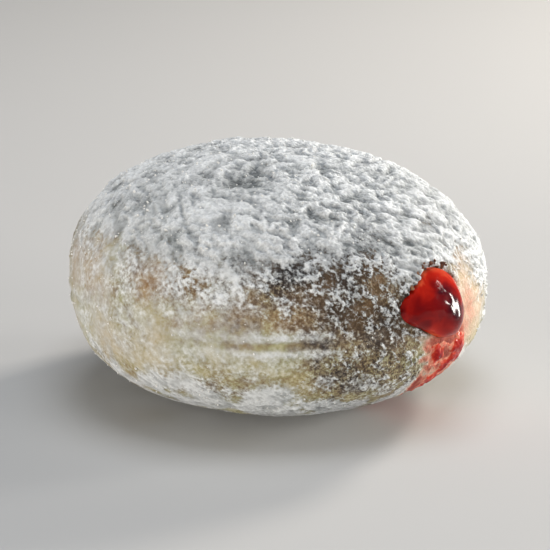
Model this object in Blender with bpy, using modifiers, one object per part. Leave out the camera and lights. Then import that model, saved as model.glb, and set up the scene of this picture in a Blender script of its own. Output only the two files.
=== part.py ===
"""A jelly filled doughnut: one round, slightly lopsided ball of fried dough, and the jelly that fills
its middle and swells out of the filling hole in its side.

Frame: metres, +Z up. The origin is the centre of the bounding box's base, on the flat foot that the
dough rests on. The front faces -Y, and the filling hole faces right and forwards, at the height
where the dough is widest. The dough is a turned outline pushed out of round. The jelly is a turned
outline too, laid along the filling axis, and the dough's pocket is cut with the jelly grown by a gap.
"""

import math

import bpy

# The dough: its outer sizes, its foot, and how full its two domes are.
WIDTH = 0.088
DEPTH = 0.085
HEIGHT = 0.0503
FOOT_RADIUS = 0.014
BELT_HEIGHT = 0.0234
CROWN_FULLNESS = 2.35
BASE_FULLNESS = 2.45

# The pale belt, where the dough floated clear of the fat, lies between two shallow creases that
# fade and deepen around it. BELT_REACH is how far above and below it the outline is finely stepped.
CREASE_SPACING = 0.0042
CREASE_WIDTH = 0.0008
CREASE_DEPTH = 0.0003
CREASE_CHANGE = 0.6
CREASE_WAVES = 2
BELT_REACH = 0.0039

# How far the ball is out of round.
OVALNESS = 0.010
OVAL_AT = math.radians(20)
THREE_SIDED = 0.009
CORNER_AT = math.radians(229)
CROWN_LEAN = -0.0038
BELT_DIP = 0.0002

# The filling hole, and the jelly's outline along the filling axis, measured from the dough's axis.
HOLE_AZIMUTH = math.radians(49)
HOLE_HEIGHT = 0.0292
CORE_MIDDLE = 0.004
CORE_LENGTH = 0.040
CORE_RADIUS = 0.0095
CORE_FLATNESS = 0.80
NECK_RADIUS = 0.0062
BLOB_MIDDLE = 0.0403
BLOB_LENGTH = 0.0120
BLOB_RADIUS = 0.0085
BLOB_WIDENING = 0.26
BLOB_SAG = 0.0016
NECK_BLENDING = 5
GAP = 0.0004

# How finely the outlines are turned and stepped.
DOUGH_TURNS = 76
CROWN_STEPS = 15
BELT_STEPS = 13
BASE_STEPS = 11
JELLY_TURNS = 32
JELLY_STEPS = 26
MERGE = 0.00001

CRUST_COLOUR = (0.62, 0.55, 0.44, 1)
JELLY_COLOUR = (0.35, 0.012, 0.008, 1)


def clear_scene():
    for obj in list(bpy.data.objects):
        bpy.data.objects.remove(obj)


def new_collection(name):
    collection = bpy.data.collections.new(name)
    bpy.context.scene.collection.children.link(collection)
    return collection


def new_material(name, colour, roughness):
    material = bpy.data.materials.new(name)
    material.use_nodes = True
    shader = material.node_tree.nodes["Principled BSDF"]
    shader.inputs["Base Color"].default_value = colour
    shader.inputs["Roughness"].default_value = roughness
    return material


def turned(name, profile, turns):
    """A closed mesh: the (radius, height) outline, given from its top down, turned about Z."""
    line = bpy.data.meshes.new(name)
    edges = [(i, i + 1) for i in range(len(profile) - 1)]
    line.from_pydata([(radius, 0, height) for radius, height in profile], edges, [])
    blank = bpy.data.objects.new(name, line)
    bpy.context.scene.collection.objects.link(blank)
    screw = blank.modifiers.new("turn", "SCREW")
    screw.steps = turns
    screw.render_steps = turns
    screw.use_merge_vertices = True
    screw.merge_threshold = MERGE
    graph = bpy.context.evaluated_depsgraph_get()
    mesh = bpy.data.meshes.new_from_object(blank.evaluated_get(graph))
    bpy.data.objects.remove(blank)
    mesh.name = name
    return mesh


def superellipse(share, fullness):
    """The radius, as a share of the widest, at a share of the way up or down to the pole."""
    return max(0.0, 1 - share**fullness) ** (1 / fullness)


def base_depth():
    """How far below the belt the lower dome would reach, were it not cut off at the foot."""
    return BELT_HEIGHT / superellipse(2 * FOOT_RADIUS / WIDTH, BASE_FULLNESS)


def dough_radius(height):
    """The turned dough's radius at a height, on a superellipse above the belt or one below it."""
    above = height - BELT_HEIGHT
    if above >= 0:
        return WIDTH / 2 * superellipse(above / (HEIGHT - BELT_HEIGHT), CROWN_FULLNESS)
    return WIDTH / 2 * superellipse(-above / base_depth(), BASE_FULLNESS)


def crease_depth(height, around):
    """How far the belt's two creases draw the dough in, at a height and a bearing around it."""
    above = height - BELT_HEIGHT
    depth = 0.0
    for side in (-1, 1):
        strength = 1 + CREASE_CHANGE * math.sin(CREASE_WAVES * around + side)
        offset = (above - side * CREASE_SPACING / 2) / CREASE_WIDTH
        depth += CREASE_DEPTH * strength * math.exp(-(offset**2))
    return depth


def dome_heights(reach, fullness, steps, last_angle):
    """Heights above the belt of points spaced by angle from a dome's pole to near the belt."""
    angles = [last_angle * i / steps for i in range(steps + 1)]
    return [reach * math.cos(angle) ** (2 / fullness) for angle in angles]


def dough_profile():
    """The turned dough's outline, from its top down its outer side to the centre of its foot."""
    crown_reach = HEIGHT - BELT_HEIGHT
    crown_end = math.acos((BELT_REACH / crown_reach) ** (CROWN_FULLNESS / 2))
    base_end = math.acos((BELT_REACH / base_depth()) ** (BASE_FULLNESS / 2))
    base_start = math.acos((BELT_HEIGHT / base_depth()) ** (BASE_FULLNESS / 2))
    crown = dome_heights(crown_reach, CROWN_FULLNESS, CROWN_STEPS, crown_end)
    belt = [BELT_REACH * (1 - 2 * i / BELT_STEPS) for i in range(1, BELT_STEPS)]
    base = [
        -base_depth()
        * math.cos(base_end + (base_start - base_end) * i / BASE_STEPS) ** (2 / BASE_FULLNESS)
        for i in range(BASE_STEPS + 1)
    ]
    heights = [BELT_HEIGHT + above for above in crown + belt + base]
    heights[-1] = 0.0
    outline = [(dough_radius(height), height) for height in heights]
    outline[0] = (0.0, HEIGHT)
    return outline + [(0.0, 0.0)]


def knead(mesh):
    """Pushes the evenly turned dough out of round, with its foot left flat, and fits it to its sizes.

    Seen from above it gets an oval and a three-cornered share. Its belt is creased and dips towards
    the right, and its crown leans.
    """
    for vertex in mesh.vertices:
        x, y, z = vertex.co
        around = math.atan2(y, x)
        swell = 1 + OVALNESS * math.cos(2 * (around - OVAL_AT))
        swell += THREE_SIDED * math.cos(3 * (around - CORNER_AT))
        swell -= crease_depth(z, around) / (WIDTH / 2)
        rise = z / HEIGHT
        middle = math.sin(math.pi * rise)
        vertex.co.x = x * swell + CROWN_LEAN * rise**2
        vertex.co.y = y * swell
        vertex.co.z = z - BELT_DIP * middle * x / (WIDTH / 2)
    fit(mesh)


def fit(mesh):
    """Moves and stretches the mesh so that it stands on the origin and is exactly as big as named."""
    for axis, size in enumerate((WIDTH, DEPTH, HEIGHT)):
        places = [vertex.co[axis] for vertex in mesh.vertices]
        low = min(places)
        span = max(places) - low
        start = 0.0 if axis == 2 else -size / 2
        for vertex in mesh.vertices:
            vertex.co[axis] = start + (vertex.co[axis] - low) * size / span


def half_ellipse(place, middle, length):
    """An ellipse's half height at a place along it, as a share of its greatest."""
    return math.sqrt(max(0.0, 1 - ((place - middle) / (length / 2)) ** 2))


def jelly_radius(place):
    """The turned jelly's radius: the core's, neck's and blob's outlines melted into one."""
    shares = [
        CORE_RADIUS * half_ellipse(place, CORE_MIDDLE, CORE_LENGTH),
        BLOB_RADIUS * half_ellipse(place, BLOB_MIDDLE, BLOB_LENGTH),
        NECK_RADIUS if CORE_MIDDLE < place < BLOB_MIDDLE else 0.0,
    ]
    return sum(share**NECK_BLENDING for share in shares) ** (1 / NECK_BLENDING)


def jelly_profile():
    """The jelly's outline from the blob's tip inwards, its points closer together at both ends."""
    inner = CORE_MIDDLE - CORE_LENGTH / 2
    outer = BLOB_MIDDLE + BLOB_LENGTH / 2
    middle = (inner + outer) / 2
    half = (outer - inner) / 2
    places = [middle + half * math.cos(math.pi * i / JELLY_STEPS) for i in range(JELLY_STEPS + 1)]
    outline = [(jelly_radius(place), place) for place in places]
    outline[0] = (0.0, outer)
    outline[-1] = (0.0, inner)
    return outline


def sag(mesh):
    """Flattens the core, and widens the blob and lets it hang as it leaves the hole.

    In the jelly's own frame Z runs out along the filling axis, Y is up and X is sideways.
    """
    skin = BLOB_MIDDLE - BLOB_LENGTH / 4
    tip = BLOB_MIDDLE + BLOB_LENGTH / 2
    for vertex in mesh.vertices:
        out = min(1.0, max(0.0, (vertex.co.z - skin) / (tip - skin)))
        blob = out * out * (3 - 2 * out)
        inside = min(1.0, max(0.0, (skin - vertex.co.z) / (skin - CORE_MIDDLE)))
        vertex.co.x *= 1 + BLOB_WIDENING * (1 - inside)
        vertex.co.y *= 1 - (1 - CORE_FLATNESS) * inside
        vertex.co.y -= BLOB_SAG * blob


def new_object(name, mesh, collection, material):
    mesh.shade_smooth()
    mesh.materials.append(material)
    obj = bpy.data.objects.new(name, mesh)
    collection.objects.link(obj)
    return obj


def on_filling_axis(obj):
    """Lays an object's own Z along the filling axis, with its own Y pointing up."""
    obj.location = (0, 0, HOLE_HEIGHT)
    obj.rotation_euler = (math.pi / 2, 0, HOLE_AZIMUTH)


def make_jelly(collection, material):
    mesh = turned("jelly", jelly_profile(), JELLY_TURNS)
    sag(mesh)
    jelly = new_object("jelly", mesh, collection, material)
    on_filling_axis(jelly)
    return jelly


def make_pocket_cutter(jelly, collection):
    """The jelly grown all round by the gap that keeps the two solids apart."""
    cutter = bpy.data.objects.new("pocket_cutter", jelly.data)
    collection.objects.link(cutter)
    on_filling_axis(cutter)
    grow = cutter.modifiers.new("grow", "DISPLACE")
    grow.direction = "NORMAL"
    grow.mid_level = 0
    grow.strength = GAP
    cutter.hide_render = True
    cutter.display_type = "WIRE"
    return cutter


def make_dough(collection, material, cutter):
    mesh = turned("dough", dough_profile(), DOUGH_TURNS)
    knead(mesh)
    dough = new_object("dough", mesh, collection, material)
    pocket = dough.modifiers.new("pocket", "BOOLEAN")
    pocket.operation = "DIFFERENCE"
    pocket.object = cutter
    return dough


def main():
    clear_scene()
    parts = new_collection("jelly_doughnut")
    cutters = new_collection("cutters")
    crust = new_material("sugared_crust", CRUST_COLOUR, 0.85)
    fruit = new_material("red_jelly", JELLY_COLOUR, 0.12)
    jelly = make_jelly(parts, fruit)
    cutter = make_pocket_cutter(jelly, cutters)
    make_dough(parts, crust, cutter)


main()
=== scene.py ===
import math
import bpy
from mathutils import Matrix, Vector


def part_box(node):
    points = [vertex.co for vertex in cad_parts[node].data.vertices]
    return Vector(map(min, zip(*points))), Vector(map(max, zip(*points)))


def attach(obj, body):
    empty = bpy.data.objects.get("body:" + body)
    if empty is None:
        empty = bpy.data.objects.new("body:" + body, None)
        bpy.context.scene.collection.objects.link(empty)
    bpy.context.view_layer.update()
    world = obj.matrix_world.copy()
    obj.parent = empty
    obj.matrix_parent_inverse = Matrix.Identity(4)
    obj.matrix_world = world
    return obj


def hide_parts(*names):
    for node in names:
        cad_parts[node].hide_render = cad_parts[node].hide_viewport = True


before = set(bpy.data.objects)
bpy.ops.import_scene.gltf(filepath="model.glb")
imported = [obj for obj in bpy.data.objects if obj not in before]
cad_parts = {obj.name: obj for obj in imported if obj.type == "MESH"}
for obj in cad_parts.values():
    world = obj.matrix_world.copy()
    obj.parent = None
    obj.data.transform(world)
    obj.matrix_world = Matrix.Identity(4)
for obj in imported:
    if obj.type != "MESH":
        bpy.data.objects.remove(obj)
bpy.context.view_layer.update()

# The looks of a jelly filled doughnut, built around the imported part.
#
# Everything on the dough is worked out from two numbers: a bearing round the vertical axis, and a
# share of the way along the turned outline from the crown's pole, down the side, to the middle of the
# foot. The fried crust, the caked sugar, the jelly and its smear are grids of those two, or of numbers
# laid out around the filling hole, moved out along the dough's outward direction by layers of noise.

from types import SimpleNamespace

import bpy
import numpy as np
from mathutils import Vector

MM = 0.001
SEED = 11

# ---- The dough's form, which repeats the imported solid's ----

DOUGH_LOW, DOUGH_HIGH = (np.array(corner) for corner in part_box("dough"))
WIDTH, _, HEIGHT = DOUGH_HIGH - DOUGH_LOW
BELT_HEIGHT = 0.465 * HEIGHT
FOOT_RADIUS = 14 * MM
CROWN_FULLNESS = 2.35
BASE_FULLNESS = 2.45
OVALNESS = 0.010
OVAL_AT = math.radians(20)
THREE_SIDED = 0.009
CORNER_AT = math.radians(229)
CROWN_LEAN = -3.8 * MM
BELT_DIP = 0.2 * MM

# ---- The filling hole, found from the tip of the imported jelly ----

JELLY_POINTS = np.array([vertex.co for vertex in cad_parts["jelly"].data.vertices])
JELLY_TIP = JELLY_POINTS[np.argmax(np.hypot(JELLY_POINTS[:, 0], JELLY_POINTS[:, 1]))]
HOLE_TURN = math.radians(1.2)  # how far round the hole's middle lies from the tip
HOLE_BEARING = math.atan2(JELLY_TIP[1], JELLY_TIP[0]) + HOLE_TURN
HOLE_OUT = np.array([math.cos(HOLE_BEARING), math.sin(HOLE_BEARING), 0])
HOLE_ACROSS = np.array([-math.sin(HOLE_BEARING), math.cos(HOLE_BEARING), 0])
HOLE_UP = np.array([0, 0, 1])
HOLE_RADIUS_OUT = WIDTH / 2
HOLE_HEIGHT = JELLY_TIP[2]
HOLE_HALF_WIDTH = 7.8 * MM
HOLE_HALF_HEIGHT = 6.8 * MM
# Each corner is where it lies and how wide it is, in degrees around the hole, and the share it adds.
HOLE_CORNERS = ((178, 22, 0.31), (-132, 30, -0.13), (-62, 24, 0.07), (136, 18, -0.05), (0, 42, -0.22))

# ---- How finely the pieces are made ----

OUTLINE_STEPS = 2500
FOOT_STEPS = 200
CRUST_AROUND = 520
CRUST_RINGS = 180
CROWN_COAT_STEPS = 304
BASE_COAT_AROUND = 640
BASE_COAT_RINGS = 128
BASE_WALL_RINGS = 4
JELLY_AROUND = 160
JELLY_RINGS = 150
SMEAR_AROUND = 130
SMEAR_RINGS = 120


def hex_colour(code):
    """An sRGB hex colour as linear numbers and an opaque alpha."""
    shares = [int(code[i : i + 2], 16) / 255 for i in (1, 3, 5)]
    linear = [s / 12.92 if s <= 0.04045 else ((s + 0.055) / 1.055) ** 2.4 for s in shares]
    return (*linear, 1.0)


def smooth(values, start, end):
    """0 before start, 1 after end, and the curve 3t^2 - 2t^3 between them."""
    t = np.clip((values - start) / (end - start), 0, 1)
    return t * t * (3 - 2 * t)


def bump_at(values, middle, width):
    """A bell curve: exp(-((values - middle) / width)^2)."""
    return np.exp(-(((values - middle) / width) ** 2))


def degrees_from(angle, at):
    """How far an angle in radians lies past one given in degrees: degrees from -180 to 180."""
    return (np.degrees(angle) - at + 180) % 360 - 180


# ---- Noise ----

RANDOM = np.random.default_rng(SEED)
SHUFFLE = RANDOM.permutation(256)
SLOPES = RANDOM.normal(size=(256, 3))
SLOPES /= np.linalg.norm(SLOPES, axis=1, keepdims=True)
CUBE_CORNERS = np.array([(i, j, k) for i in (0, 1) for j in (0, 1) for k in (0, 1)])
SALT_STEP = np.array([17.3, 31.7, 53.9])
NOISE_GAIN = 1.7


def lattice_number(cell):
    """A number from 0 to 255 that looks random, the same each time for the same lattice cell."""
    across = SHUFFLE[cell[..., 0] % 256]
    across = SHUFFLE[(across + cell[..., 1]) % 256]
    return SHUFFLE[(across + cell[..., 2]) % 256]


def lumps(points, size, salt=0):
    """Gradient noise from about -1 to 1, its lumps about as wide as the size.

    Each lattice corner has a random slope. A point takes the eight slopes around it times its way
    from their corners, blended by 6t^5 - 15t^4 + 10t^3 of its place between them. Each salt reads
    another part of the lattice, so that no two layers of noise are alike.
    """
    place = points / size + salt * SALT_STEP
    cell = np.floor(place).astype(int)
    inside = place - cell
    ease = inside**3 * (inside * (inside * 6 - 15) + 10)
    total = np.zeros(points.shape[:-1])
    for corner in CUBE_CORNERS:
        slope = SLOPES[lattice_number(cell + corner)]
        weight = np.where(corner == 1, ease, 1 - ease).prod(axis=-1)
        total += weight * (slope * (inside - corner)).sum(axis=-1)
    return total * NOISE_GAIN


# ---- The smooth dough ----


def dough_outline():
    """The turned outline, finely stepped, from the crown's pole to the middle of the foot.

    A superellipse above the belt and one below it: at angle a from the pole the radius is R sin(a) to
    the power 2/f and the height above or below the belt is H cos(a) to the power 2/f.
    """
    foot_share = 2 * FOOT_RADIUS / WIDTH
    base_reach = BELT_HEIGHT / (1 - foot_share**BASE_FULLNESS) ** (1 / BASE_FULLNESS)
    foot_angle = math.acos((BELT_HEIGHT / base_reach) ** (BASE_FULLNESS / 2))
    crown = np.linspace(0, math.pi / 2, OUTLINE_STEPS)
    base = np.linspace(math.pi / 2, foot_angle, OUTLINE_STEPS)[1:]
    crown_radius = WIDTH / 2 * np.sin(crown) ** (2 / CROWN_FULLNESS)
    crown_height = BELT_HEIGHT + (HEIGHT - BELT_HEIGHT) * np.cos(crown) ** (2 / CROWN_FULLNESS)
    base_radius = WIDTH / 2 * np.sin(base) ** (2 / BASE_FULLNESS)
    base_height = BELT_HEIGHT - base_reach * np.cos(base) ** (2 / BASE_FULLNESS)
    foot_radius = np.linspace(FOOT_RADIUS, 0, FOOT_STEPS)[1:]
    radius = np.concatenate([crown_radius, base_radius, foot_radius])
    height = np.concatenate([crown_height, base_height, np.zeros(len(foot_radius))])
    length = np.concatenate([[0], np.hypot(np.diff(radius), np.diff(height)).cumsum()])
    out, up = -np.gradient(height, length), np.gradient(radius, length)
    return SimpleNamespace(
        share=length / length[-1], length=length[-1], radius=radius, height=height, out=out, up=up
    )


OUTLINE = dough_outline()
BELT_SHARE = OUTLINE.share[np.argmax(OUTLINE.radius)]
FOOT_SHARE = 1 - FOOT_RADIUS / OUTLINE.length


def kneaded(bearing, radius, height):
    """Points of the turned dough pushed out of round.

    The radius grows by an oval share cos(2b) and a three-cornered share cos(3b), the crown leans by
    the square of the height, and the middle dips to one side.
    """
    swell = 1 + OVALNESS * np.cos(2 * (bearing - OVAL_AT)) + THREE_SIDED * np.cos(3 * (bearing - CORNER_AT))
    rise = height / HEIGHT
    x = radius * np.cos(bearing) * swell + CROWN_LEAN * rise**2
    y = radius * np.sin(bearing) * swell
    z = height - BELT_DIP * np.sin(math.pi * rise) * radius * np.cos(bearing) / (WIDTH / 2)
    return np.stack([x, y, z], axis=-1)


def kneaded_spans():
    """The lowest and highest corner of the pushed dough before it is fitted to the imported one."""
    bearing = np.linspace(0, 2 * math.pi, 360)[:, None]
    points = kneaded(bearing, OUTLINE.radius[None, ::20], OUTLINE.height[None, ::20]).reshape(-1, 3)
    return points.min(axis=0), points.max(axis=0)


KNEADED_LOW, KNEADED_HIGH = kneaded_spans()


def dough_at(bearing, share):
    """Points on the smooth dough and their outward directions, for arrays of bearings and shares."""
    radius = np.interp(share, OUTLINE.share, OUTLINE.radius)
    height = np.interp(share, OUTLINE.share, OUTLINE.height)
    out = np.interp(share, OUTLINE.share, OUTLINE.out)
    up = np.interp(share, OUTLINE.share, OUTLINE.up)
    raw = kneaded(bearing, radius, height)
    points = DOUGH_LOW + (raw - KNEADED_LOW) * (DOUGH_HIGH - DOUGH_LOW) / (KNEADED_HIGH - KNEADED_LOW)
    outward = np.stack([out * np.cos(bearing), out * np.sin(bearing), up], axis=-1)
    return points, outward / np.linalg.norm(outward, axis=-1, keepdims=True)


def share_at_height(height):
    """The share of the outline at which it comes down to a height, above the foot."""
    side = OUTLINE.share <= FOOT_SHARE
    return np.interp(-height, -OUTLINE.height[side], OUTLINE.share[side])


# ---- What lies where on the dough ----

# Each patch is the bearing in degrees and the rise (0 at the foot, 1 at the crown) of its middle, how
# far it reaches each way, and how much it adds. The front is at -90 degrees and the hole near -41.
# Caking is how thick the sugar lies, dusting how much of the crust it hides, browning how dark that
# crust is, and grit how coarse and broken the surface is.
CAKING_PATCHES = (
    (-2, 0.66, 26, 0.30, 1.7),
    (-43, 0.73, 6, 0.07, 1.2),
    (-45, 0.90, 34, 0.12, 0.5),
    (-74, 0.72, 24, 0.12, 0.85),
    (-108, 0.71, 11, 0.09, 0.8),
    (-45, 0.69, 7, 0.07, 1.3),
    (-118, 0.60, 7, 0.05, 0.5),
    (-86, 0.16, 20, 0.09, 1.4),
    (-60, 0.36, 14, 0.16, 0.45),
    (-25, 0.46, 9, 0.15, -1.6),
    (-34, 0.745, 10, 0.06, 2.2),
    (-8, 0.66, 14, 0.20, 0.8),
    (25, 0.25, 30, 0.20, 0.9),
    (95, 0.66, 30, 0.16, 1.0),
    (140, 0.20, 30, 0.12, 0.8),
    (180, 0.68, 14, 0.12, 0.5),
)
DUSTING_PATCHES = (
    (-150, 0.55, 32, 0.40, 0.17),
    (-144, 0.79, 15, 0.07, -0.30),
    (-119.5, 0.70, 3.5, 0.08, 0.30),
    (-103, 0.68, 4.5, 0.06, 0.26),
    (-112.5, 0.59, 4.5, 0.05, 0.26),
    (-90, 0.67, 7, 0.06, -0.16),
    (-77, 0.72, 7, 0.05, 0.06),
    (-70, 0.26, 10, 0.07, 0.25),
    (-98, 0.77, 12, 0.04, -0.16),
    (-43, 0.72, 6, 0.07, 0.35),
    (-112.5, 0.71, 5, 0.05, -0.34),
    (-125.5, 0.68, 5, 0.09, -0.24),
    (-84, 0.70, 7, 0.06, -0.20),
    (-45, 0.69, 8, 0.08, 0.40),
    (-70, 0.74, 20, 0.10, -0.10),
    (-62, 0.48, 17, 0.22, -0.26),
    (-98, 0.57, 17, 0.05, -0.16),
    (-88, 0.34, 18, 0.06, -0.12),
    (-58, 0.33, 13, 0.12, -0.14),
    (-84, 0.17, 32, 0.10, 0.90),
    (-90, 0.03, 60, 0.06, 0.80),
    (-80, 0.335, 13, 0.05, -0.20),
    (-122, 0.22, 22, 0.12, 0.22),
    (-25, 0.45, 9, 0.16, -0.16),
    (-26, 0.80, 5, 0.05, -0.30),
    (-34, 0.745, 10, 0.06, 0.6),
    (-8, 0.66, 14, 0.22, 0.55),
    (80, 0.45, 40, 0.20, 0.10),
    (160, 0.62, 14, 0.10, -0.15),
)
BROWNING_PATCHES = (
    (-64, 0.46, 20, 0.26, 0.52),
    (-74, 0.76, 24, 0.10, 0.40),
    (-126, 0.68, 8, 0.07, 0.12),
    (-112.5, 0.71, 5, 0.05, 0.38),
    (-88, 0.17, 30, 0.10, -0.45),
    (-96, 0.56, 16, 0.06, 0.10),
    (-90, 0.66, 8, 0.07, 0.22),
    (-19, 0.48, 8, 0.18, -0.55),
    (-150, 0.45, 30, 0.35, -0.20),
    (60, 0.55, 30, 0.20, 0.20),
)
GRIT_PATCHES = (
    (-60, 0.55, 22, 0.30, 0.65),
    (-90, 0.67, 9, 0.08, 0.30),
    (-150, 0.50, 34, 0.40, -0.38),
    (-100, 0.48, 20, 0.22, -0.28),
    (-96, 0.20, 24, 0.10, 0.10),
    (-114, 0.70, 6, 0.06, 0.20),
    (-22, 0.45, 11, 0.20, -0.22),
    (-47, 0.70, 5, 0.07, -0.45),
    (70, 0.55, 40, 0.25, 0.30),
)
# Where the sugar is darkened towards the pit shade's grey (lightened where the amount is below 0), and where
# the crust is a warmer gold.
DULL_PATCHES = (
    (-150, 0.86, 26, 0.12, 0.14),
    (-146, 0.79, 14, 0.08, 0.14),
    (-124, 0.79, 12, 0.06, 0.26),
    (-98, 0.78, 14, 0.05, 0.26),
    (-74, 0.79, 14, 0.05, 0.14),
    (-50, 0.79, 14, 0.05, 0.20),
    (-8, 0.84, 26, 0.13, 0.16),
    (-46, 0.885, 13, 0.05, -0.16),
    (-50, 0.975, 40, 0.02, -0.12),
)
WARM_PATCHES = (
    (-158, 0.66, 16, 0.14, 0.55),
    (-126, 0.69, 8, 0.10, 0.30),
    (-128, 0.42, 12, 0.10, 0.25),
    (-112, 0.72, 8, 0.06, 0.25),
    (-140, 0.30, 16, 0.14, 0.35),
    (-97, 0.57, 16, 0.05, 0.15),
    (-60, 0.62, 20, 0.20, 0.15),
    (-22, 0.50, 14, 0.25, 0.60),
    (-26, 0.80, 6, 0.05, 0.50),
    (100, 0.50, 40, 0.20, 0.40),
)
# The dimple near the top of the crown, sunk into the crust and darkened with painted shade.
DENT_PATCHES = ((-105, 0.985, 16, 0.03, 1.0),)


def patched(patches, bearing, rise):
    """The sum of bell-shaped patches over the dough."""
    total = np.zeros(np.broadcast(bearing, rise).shape)
    for at, up, wide, tall, amount in patches:
        away = degrees_from(bearing, at)
        total += amount * np.exp(-((away / wide) ** 2) - ((rise - up) / tall) ** 2)
    return total


def hole_reach(turn):
    """The filling hole's radius at a turn around its middle: an ellipse with corners and flats."""
    reach = 1 / np.hypot(np.cos(turn) / HOLE_HALF_WIDTH, np.sin(turn) / HOLE_HALF_HEIGHT)
    for at, wide, share in HOLE_CORNERS:
        reach = reach * (1 + share * bump_at(degrees_from(turn, at), 0, wide))
    return reach


# The share that the far side of the dough gets.
FAR_FROM_HOLE = 9.0


def hole_share(points):
    """How far points lie from the hole's middle, as a share of the way to its ragged rim."""
    across, up = points @ HOLE_ACROSS, points[..., 2] - HOLE_HEIGHT
    ragged = 1 + 0.07 * lumps(points, 3 * MM, 5) + 0.05 * lumps(points, 1.3 * MM, 6)
    share = np.hypot(across, up) / (hole_reach(np.arctan2(up, across)) * ragged)
    return np.where(points @ HOLE_OUT > 0, share, FAR_FROM_HOLE)


# The belt's two welts and the crease between them: how far down from the belt they lie, how wide they
# are and how far they stand out, in mm.
UPPER_WELT = (-1.9, 0.75, 0.40)
LOWER_WELT = (1.7, 0.8, 0.36)
CREASE = (0, 0.45, -0.45)
# Where the welts are strongest, where they fade, and where they are palest: bearing and reach.
STRONG_WELTS = (-83, 16)
FADED_WELTS = (-55, 14)
PALE_WELTS = (-88, 22)


def belt_relief(bearing, share, points):
    """The belt's two pale welts with a fine crease between them.

    The welts are bell curves across the belt; their strength and height drift around it. Returned are
    their height in mm, their paleness, how far down from the belt a point lies in mm, and how plainly
    the welts show.
    """
    level = points * np.array([1, 1, 0])
    away = (share - BELT_SHARE) * OUTLINE.length / MM + 0.7 * lumps(level, 22 * MM, 7)
    strength = 0.6 + 0.5 * lumps(level, 14 * MM, 8)
    strong, faded, pale = (
        bump_at(degrees_from(bearing, at), 0, reach) for at, reach in (STRONG_WELTS, FADED_WELTS, PALE_WELTS)
    )
    strength += 0.5 * strong
    strength *= 1 - 0.7 * faded
    fine = 0.35 * lumps(points, 2.5 * MM, 9)
    upper = bump_at(away + fine, *UPPER_WELT[:2])
    lower = bump_at(away - fine, *LOWER_WELT[:2])
    crease = bump_at(away + fine, *CREASE[:2])
    height = strength * (UPPER_WELT[2] * upper + LOWER_WELT[2] * lower + CREASE[2] * crease)
    shown = 0.15 + 0.85 * pale
    paleness = shown * (np.clip(strength, 0.2, 1) * np.maximum(upper, lower) - 0.9 * strength * crease)
    return height, paleness, away, shown


# WEB_MIDDLE is the crinkles' usual height. Strokes turn by STROKE_TWIST radians from the pole to the
# foot, and are STROKE_STRETCH times as long as they are wide. Within STROKE_RING of the pole they don't
# fan out.
WEB_MIDDLE = 0.52
STROKE_TWIST = 2.6
STROKE_STRETCH = 3.0
STROKE_RING = 8 * MM


def strokes(bearing, share, push, size, salt):
    """Gradient noise drawn out down the dough and round it to the right.

    Going down, the bearing it is read at falls back by STROKE_TWIST times the share, and the height is
    the length down the outline divided by STROKE_STRETCH.
    """
    ring = np.maximum(np.interp(share, OUTLINE.share, OUTLINE.radius), STROKE_RING)
    turned = bearing - STROKE_TWIST * share
    down = share * OUTLINE.length / STROKE_STRETCH
    place = np.stack([ring * np.cos(turned), ring * np.sin(turned), down], axis=-1)
    return lumps(place + push, size, salt)


def crinkles(points, bearing, share, grit, rise):
    """The caked sugar's wrinkles, from about -1 in its pits to 1 on its ridges.

    Where it is gritty they are a web of ridges: 1 minus the size of gradient noise, which peaks where
    the noise crosses zero. On the crown they are mostly a smooth sheet with pits and strokes pressed
    into it where gradient noise is low. The points are first pushed about by coarser noise, by up to
    about 1 mm.
    """
    push = np.stack([lumps(points, 4 * MM, salt) for salt in (20, 21, 22)], axis=-1) * MM
    pushed = points + push
    rough = 0.20 * lumps(points, 0.9 * MM, 28)
    broad = 1 - 2.6 * np.abs(lumps(pushed, 3.6 * MM, 27) + rough)
    coarse = 1 - 2.6 * np.abs(lumps(pushed, 2.2 * MM, 23) + rough)
    fine = 1 - 2.6 * np.abs(lumps(pushed, 1.15 * MM, 24))
    long_ridges = 1 - 2.4 * np.abs(strokes(bearing, share, 0.5 * push, 1.7 * MM, 25) + rough)
    short_ridges = 1 - 2.4 * np.abs(strokes(bearing, share, 0.5 * push, 1.2 * MM, 26))
    web = 0.46 * broad + 0.20 * coarse + 0.10 * fine + 0.50 * long_ridges + 0.16 * short_ridges
    wide_pits = smooth(lumps(pushed, 3.0 * MM, 60) + 0.7 * rough, -0.05, -0.65)
    small_pits = smooth(lumps(pushed, 1.7 * MM, 61) + rough, -0.15, -0.60)
    wide_strokes = smooth(strokes(bearing, share, 0.6 * push, 2.5 * MM, 65) + rough, -0.02, -0.55)
    long_strokes = smooth(strokes(bearing, share, 0.4 * push, 1.3 * MM, 62) + 0.7 * rough, -0.12, -0.55)
    sheet = 0.90 + 0.15 * lumps(pushed, 2.4 * MM, 63) + 0.15 * rough
    sheet = sheet - 0.7 * wide_pits - 0.9 * wide_strokes - 0.6 * np.maximum(0.7 * small_pits, long_strokes)
    sheeted = (0.6 + 0.6 * lumps(points, 13 * MM, 64)) * smooth(rise, 0.62, 0.80) * smooth(grit, 1.0, 0.7)
    sheeted = np.clip(sheeted, 0.1, 0.95) * smooth(rise, 0.60, 0.70)
    return np.clip(web * (1 - sheeted) + sheet * sheeted, -1.5, 1.5)


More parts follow.
